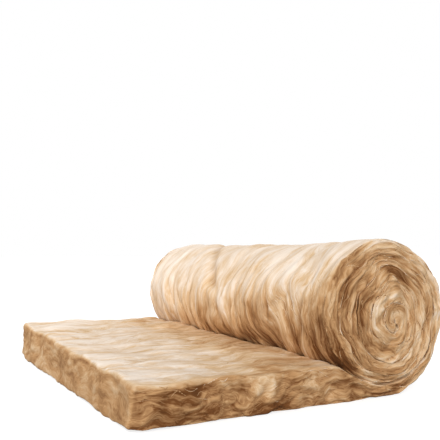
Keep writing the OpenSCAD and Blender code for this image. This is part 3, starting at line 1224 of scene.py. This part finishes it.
# The swirl that sways the strands: scale, detail, reach in metres, and further reach on ragged wool, which
# fades out between two distances from the cut end
SWIRL_SCALE = 14.0
SWIRL_DETAIL = 2.0
SWIRL_REACH = 0.03
LOOSE_REACH = 0.05
LOOSE_ENDS = (0.4, 0.75)
# How strongly the tone shows in the colour, where the ramp is read with no light, how much further on with
# full light, and the stops of the ramp
TONE_SHARE = 0.3
RAMP_START = 0.14
RAMP_LENGTH = 0.71
STOPS = (("bark", 0.05), ("umber", 0.21), ("tan", 0.40), ("straw", 0.56), ("cream", 0.73), ("milk", 0.90))
# How far the painted shade turns creases brown, and the share of its bump that calm wool keeps
CREASE_SHADE_SHARE = 0.7
CALM_BUMP = 0.3
BUMP_STRENGTH = 0.6
BUMP_HEIGHT = 0.006
ROUGHNESS = 0.92
SPECULAR = 0.15
# Sockets of a Mix node for colours
MIX_FACTOR = 0
MIX_FIRST = 6
MIX_SECOND = 7
MIX_RESULT = 2


def wool_material(colours):
    """Brushed glass wool: long pale and dark strands along the blanket over a mottled body.

    The strands are noise stretched along the flow, with its place swayed by a broader noise. Their sum with
    the tone of the wool, which carries painted light and shade, picks a colour from the ramp. Painted shade
    turns creases brown, and the strands raise a fine bump.
    """
    found = bpy.data.materials.get(MATERIAL)
    if found:
        return found
    material = bpy.data.materials.new(MATERIAL)
    shade = bare_tree(material)
    flow = shade.node("ShaderNodeAttribute", {"attribute_name": "flow"}, {}, "Vector")
    ragged, hollow, tone, cross = (
        shade.node("ShaderNodeAttribute", {"attribute_name": key}, {}, "Fac") for key in ATTRIBUTES)

    swirl = shade.node(
        "ShaderNodeTexNoise", {}, {"Vector": flow, "Scale": SWIRL_SCALE, "Detail": SWIRL_DETAIL}, "Color")
    centred = shade.node(
        "ShaderNodeVectorMath", {"operation": "SUBTRACT"}, {0: swirl, 1: (MIDDLE, MIDDLE, MIDDLE)})
    along = shade.node("ShaderNodeSeparateXYZ", {}, {"Vector": flow}, "X")
    loose = shade.node(
        "ShaderNodeMapRange", {"interpolation_type": "SMOOTHSTEP"},
        {"Value": along, "From Min": LOOSE_ENDS[0], "From Max": LOOSE_ENDS[1], "To Min": LOOSE_REACH,
         "To Max": 0.0}, "Result")
    reach = SWIRL_REACH + loose * ragged
    moved = shade.node("ShaderNodeVectorMath", {"operation": "SCALE"}, {0: centred, "Scale": reach})
    place = shade.node("ShaderNodeVectorMath", {"operation": "ADD"}, {0: flow, 1: moved})

    light = MIDDLE + MOTTLE.calm * (streaks(shade, place, cross, MOTTLE) - MIDDLE) + TONE_SHARE * tone
    height = 0.0
    for kind in STREAKS:
        streak = streaks(shade, place, cross, kind)
        light = light + (kind.calm + kind.ragged * ragged) * (streak - MIDDLE)
        height = height + kind.bump * streak
    stops = [(stop, getattr(colours, name)) for name, stop in STOPS]
    ramp = RAMP_START + RAMP_LENGTH * light
    body = shade.node("ShaderNodeValToRGB", {"stops": stops}, {"Fac": ramp}, "Color")
    # Painted shade: creases, gaps, valleys and the undersides of locks turn towards umber
    shaded_body = shade.node(
        "ShaderNodeMix", {"data_type": "RGBA"},
        {MIX_FACTOR: CREASE_SHADE_SHARE * hollow, MIX_FIRST: body, MIX_SECOND: (*colours.umber, 1.0)}, MIX_RESULT)
    height = height * (CALM_BUMP + (1 - CALM_BUMP) * ragged)
    raised = {"Strength": BUMP_STRENGTH, "Distance": BUMP_HEIGHT, "Height": height}
    bump = shade.node("ShaderNodeBump", {}, raised, "Normal")
    surface = shade.node(
        "ShaderNodeBsdfPrincipled", {},
        {"Base Color": shaded_body, "Roughness": ROUGHNESS, "Specular IOR Level": SPECULAR,
         "Normal": bump}, "BSDF")
    shade.node("ShaderNodeOutputMaterial", {}, {"Surface": surface})
    return material


# Stage

FLOOR_REACH = 30.0
CAMERA_PLACE = (1.8314, -0.9491, 0.3819)
CAMERA_HEADING = math.radians(61.057)
CAMERA_PITCH = math.radians(2.724)
# Width of the camera's frame in millimetres
FRAME_WIDTH = 36.0
KEY_PLACE = (-1.3, -1.9, 2.4)
KEY_AIM = (0.0, 0.0, 0.2)
FILL_FROM = (0.85, -0.5, 0.3)
BACK_FROM = (-0.4, 0.85, 0.3)
WHITE = (1.0, 1.0, 1.0, 1.0)
FLOOR_WHITE = 0.95
# Share of the floor's white that no shadow takes away, and its strength
FLOOR_GLOW = 0.5
FLOOR_LIFT = 1.45


def background_rays(shade):
    """1 for rays from the camera, from a mirror or through glass, which show the plain background."""
    rays = [shade.node("ShaderNodeLightPath", {}, {}, f"Is {kind} Ray")
            for kind in ("Camera", "Glossy", "Transmission")]
    return shade.math("MAXIMUM", rays[0], shade.math("MAXIMUM", rays[1], rays[2]))


def floor_material(bounce):
    """Pale matt floor. The camera sees it white with its shadows, and it throws back less light."""
    material = bpy.data.materials.new("pale_floor")
    shade = bare_tree(material)
    seen = background_rays(shade)
    dim, matt = (
        shade.node("ShaderNodeBsdfDiffuse", {}, {"Color": (grey, grey, grey, 1.0)}, "BSDF")
        for grey in (bounce, FLOOR_WHITE))
    glow = shade.node("ShaderNodeEmission", {}, {"Color": WHITE, "Strength": FLOOR_LIFT}, "Emission")
    pale = shade.node("ShaderNodeMixShader", {}, {0: FLOOR_GLOW, 1: matt, 2: glow}, "Shader")
    both = shade.node("ShaderNodeMixShader", {}, {0: seen, 1: dim, 2: pale}, "Shader")
    shade.node("ShaderNodeOutputMaterial", {}, {"Surface": both})
    return material


def light_world(sky):
    """Even light from all round, which the camera, mirrors and glass see as white."""
    world = bpy.data.worlds.new("studio")
    shade = bare_tree(world)
    seen = background_rays(shade)
    glow = shade.node(
        "ShaderNodeBackground", {}, {"Color": WHITE, "Strength": sky + (1.0 - sky) * seen}, "Background")
    shade.node("ShaderNodeOutputWorld", {}, {"Surface": glow})
    return world


class WOOL_OT_stage(bpy.types.Operator):
    """Builds the floor, the light and the camera"""
    bl_idname = "wool.stage"
    bl_label = "Stage"

    def execute(self, context):
        scene = context.scene
        settings = scene.stage_settings
        mesh = bpy.data.meshes.new("floor")
        corners = [(-1, -1), (1, -1), (1, 1), (-1, 1)]
        mesh.from_pydata([(FLOOR_REACH * x, FLOOR_REACH * y, 0.0) for x, y in corners], [], [(0, 1, 2, 3)])
        mesh.materials.append(floor_material(settings.floor_bounce))
        floor = add_object(scene, "floor", mesh)

        scene.world = light_world(settings.sky)
        lamp = bpy.data.lights.new("key", "AREA")
        lamp.energy = settings.key
        lamp.shape = "DISK"
        lamp.size = settings.key_size
        key = add_object(scene, "key", lamp)
        key.location = KEY_PLACE
        key.rotation_euler = (Vector(KEY_PLACE) - Vector(KEY_AIM)).to_track_quat("Z", "Y").to_euler()
        for name, strength, side in (("fill", settings.fill, FILL_FROM), ("back", settings.back, BACK_FROM)):
            soft = bpy.data.lights.new(name, "SUN")
            soft.energy = strength
            soft.angle = settings.sun_softness
            sun = add_object(scene, name, soft)
            sun.rotation_euler = Vector(side).to_track_quat("Z", "Y").to_euler()

        lens = bpy.data.cameras.new("camera")
        lens.lens = settings.lens
        lens.sensor_width = FRAME_WIDTH
        lens.dof.use_dof = False
        camera = add_object(scene, "camera", lens)
        camera.location = CAMERA_PLACE
        camera.rotation_euler = (math.pi / 2 + CAMERA_PITCH, 0.0, CAMERA_HEADING)
        scene.camera = camera
        scene.view_settings.view_transform = "Standard"
        return {"FINISHED"}


class WOOL_PT_panel(bpy.types.Panel):
    """Lists the builders of the blanket"""
    bl_idname = "WOOL_PT_panel"
    bl_label = "Glass wool blanket"
    bl_space_type = "VIEW_3D"
    bl_region_type = "UI"
    bl_category = "Wool"

    def draw(self, context):
        scene = context.scene
        for group in (scene.blanket_sizes, scene.wool_colours, scene.stage_settings):
            box = self.layout.box()
            for name in group.__annotations__:
                box.prop(group, name)
        for operator in OPERATORS:
            self.layout.operator(operator.bl_idname)


GROUPS = (BlanketSizes, WoolColours, StageSettings)
OPERATORS = (
    WOOL_OT_stage, WOOL_OT_free_end, WOOL_OT_outer_turn, WOOL_OT_inner_turns,
    WOOL_OT_skin_locks, WOOL_OT_end_locks, WOOL_OT_free_locks,
)
CLASSES = GROUPS + OPERATORS + (WOOL_PT_panel,)


def register():
    """Registers the classes and gives each scene its settings."""
    for kind in CLASSES:
        bpy.utils.register_class(kind)
    bpy.types.Scene.blanket_sizes = bpy.props.PointerProperty(type=BlanketSizes)
    bpy.types.Scene.wool_colours = bpy.props.PointerProperty(type=WoolColours)
    bpy.types.Scene.stage_settings = bpy.props.PointerProperty(type=StageSettings)


def unregister():
    """Takes back what register does."""
    del bpy.types.Scene.stage_settings
    del bpy.types.Scene.wool_colours
    del bpy.types.Scene.blanket_sizes
    for kind in reversed(CLASSES):
        bpy.utils.unregister_class(kind)


def main():
    """Builds the stage and the blanket."""
    register()
    bpy.ops.wool.stage()
    bpy.ops.wool.free_end()
    bpy.ops.wool.outer_turn()
    bpy.ops.wool.inner_turns()
    bpy.ops.wool.skin_locks()
    bpy.ops.wool.end_locks()
    bpy.ops.wool.free_locks()


if __name__ == "__main__":
    main()
